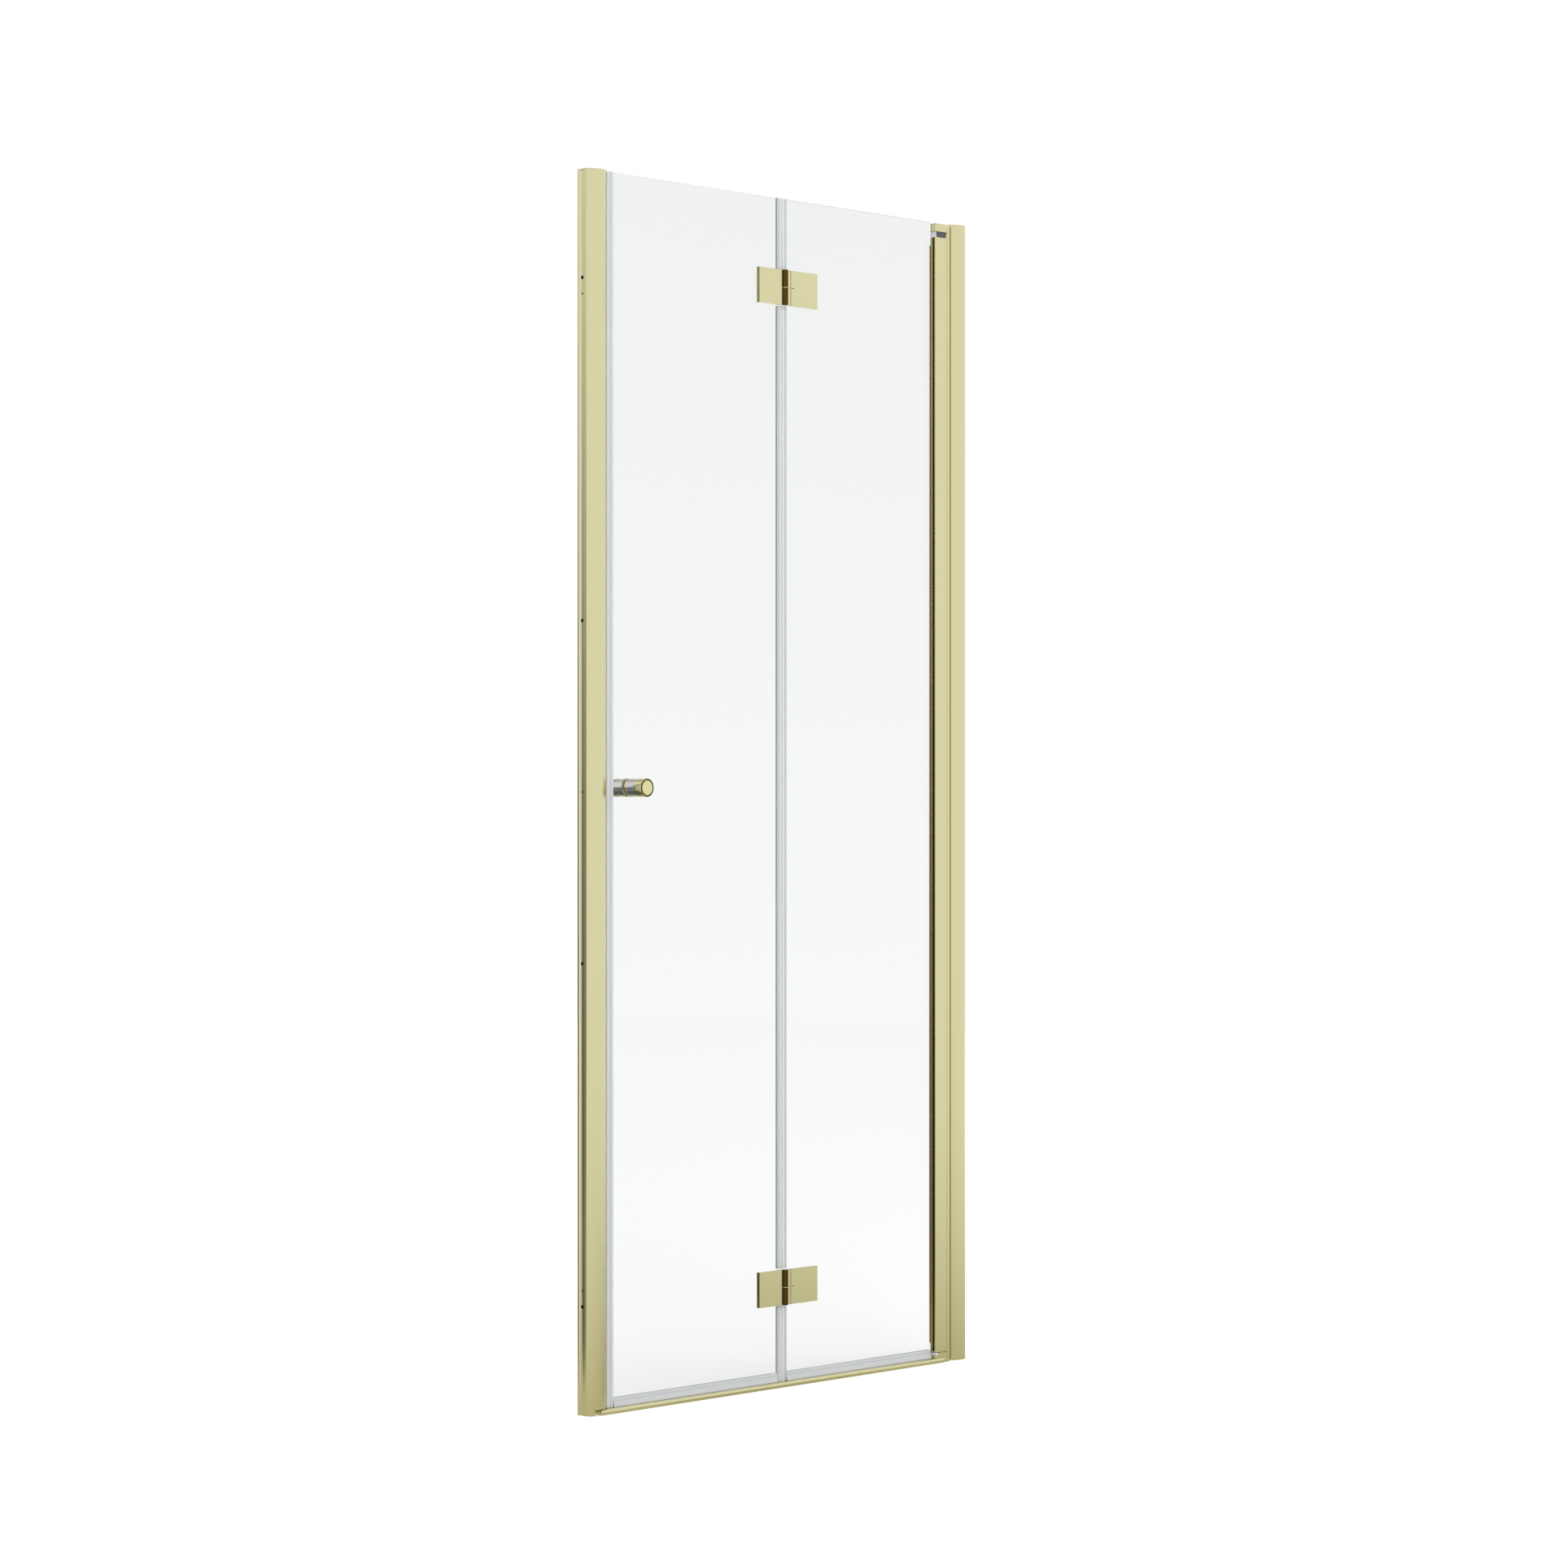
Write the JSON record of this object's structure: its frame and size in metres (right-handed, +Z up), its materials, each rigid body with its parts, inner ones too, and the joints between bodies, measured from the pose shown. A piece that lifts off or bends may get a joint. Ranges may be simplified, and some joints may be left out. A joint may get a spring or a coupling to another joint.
{
  "type": "bifold shower door",
  "caption": "Gold-trimmed bifold shower door: two clear glass panels that fold inward, on a rising pivot post, between two wall channels.",
  "frame": {"origin": "middle of the opening, on the mid-plane of the glass, at the shower tray (bottom centre of the overall box)", "axes": "+X along the opening from the magnetic strike side to the hinge side, +Y into the shower, +Z up"},
  "size_m": [0.91, 0.082, 1.95],
  "materials": {
    "gilt profile": "brushed",
    "gilt cast": "satin",
    "gilt threshold": "satin",
    "gilt polished": "polished",
    "knob silver": "satin",
    "stainless": "satin",
    "clear glass": "clear",
    "clear pvc": "translucent",
    "magnet strip": "matte",
    "white nylon": "matte",
    "grey shoe": "matte"
  },
  "bodies": {
    "frame": {"wall_channel_strike": "gilt profile", "channel_cap_strike": "gilt cast", "strike_profile": "gilt profile", "strike_magnet_seal": "clear pvc", "strike_magnet_bar": "magnet strip", "strike_fixing_screws": "stainless", "wall_channel_hinge": "gilt profile", "channel_cap_hinge": "gilt cast", "hinge_profile": "gilt profile", "hinge_fixing_screws": "stainless", "top_pivot_block": "gilt cast", "bottom_pivot_block": "gilt cast", "pivot_block_screws": "stainless", "post_wear_pad": "white nylon", "bottom_pivot_pin": "stainless", "lift_cam_base": "white nylon", "threshold_bar": "gilt threshold", "threshold_end_cap": "gilt threshold"},
    "lift": {"lift_shoe": "grey shoe", "lift_shoe_nose": "white nylon", "top_pivot_pin": "stainless"},
    "main_panel": {"pivot_post": "gilt profile", "post_foot_plate": "gilt profile", "post_top_bush": "white nylon", "lift_cam_rider": "white nylon", "main_glass": "clear glass", "glazing_gasket_front": "clear pvc", "glazing_gasket_back": "clear pvc", "main_bottom_seal": "clear pvc", "main_fold_seal": "clear pvc", "hinge_leaf_main_top": "gilt polished", "hinge_leaf_main_bottom": "gilt polished", "hinge_pads_main": "clear pvc", "hinge_screws_main": "gilt polished", "hinge_washers": "white nylon", "hinge_pins": "stainless"},
    "leading_panel": {"leading_glass": "clear glass", "leading_bottom_seal": "clear pvc", "leading_fold_seal": "clear pvc", "leading_magnet_seal": "clear pvc", "leading_magnet_bar": "magnet strip", "hinge_leaf_leading_top": "gilt polished", "hinge_leaf_leading_bottom": "gilt polished", "hinge_pads_leading": "clear pvc", "hinge_screws_leading": "gilt polished", "knob_body_front": "knob silver", "knob_end_front": "gilt polished", "knob_body_back": "knob silver", "knob_end_back": "gilt polished", "knob_collars": "gilt polished", "knob_washers": "clear pvc", "knob_stud": "stainless"}
  },
  "joints": [
    {"name": "door_lift", "type": "slide", "parent": "frame", "child": "lift", "axis": [0, 0, 1], "range_m": [0, 0.006]},
    {"name": "door_pivot", "type": "hinge", "parent": "lift", "child": "main_panel", "pos_m": [0.3885, -0.0055, 0.975], "axis": [0, 0, -1], "range_deg": [0, 90]},
    {"name": "panel_fold", "type": "hinge", "parent": "main_panel", "child": "leading_panel", "pos_m": [-0.0045, -0.0095, 0.975], "axis": [0, 0, 1], "range_deg": [0, 170]}
  ],
  "couplings": [
    {"joint": "door_lift", "follows": "door_pivot", "m_per_rad": 0.0038193}
  ]
}
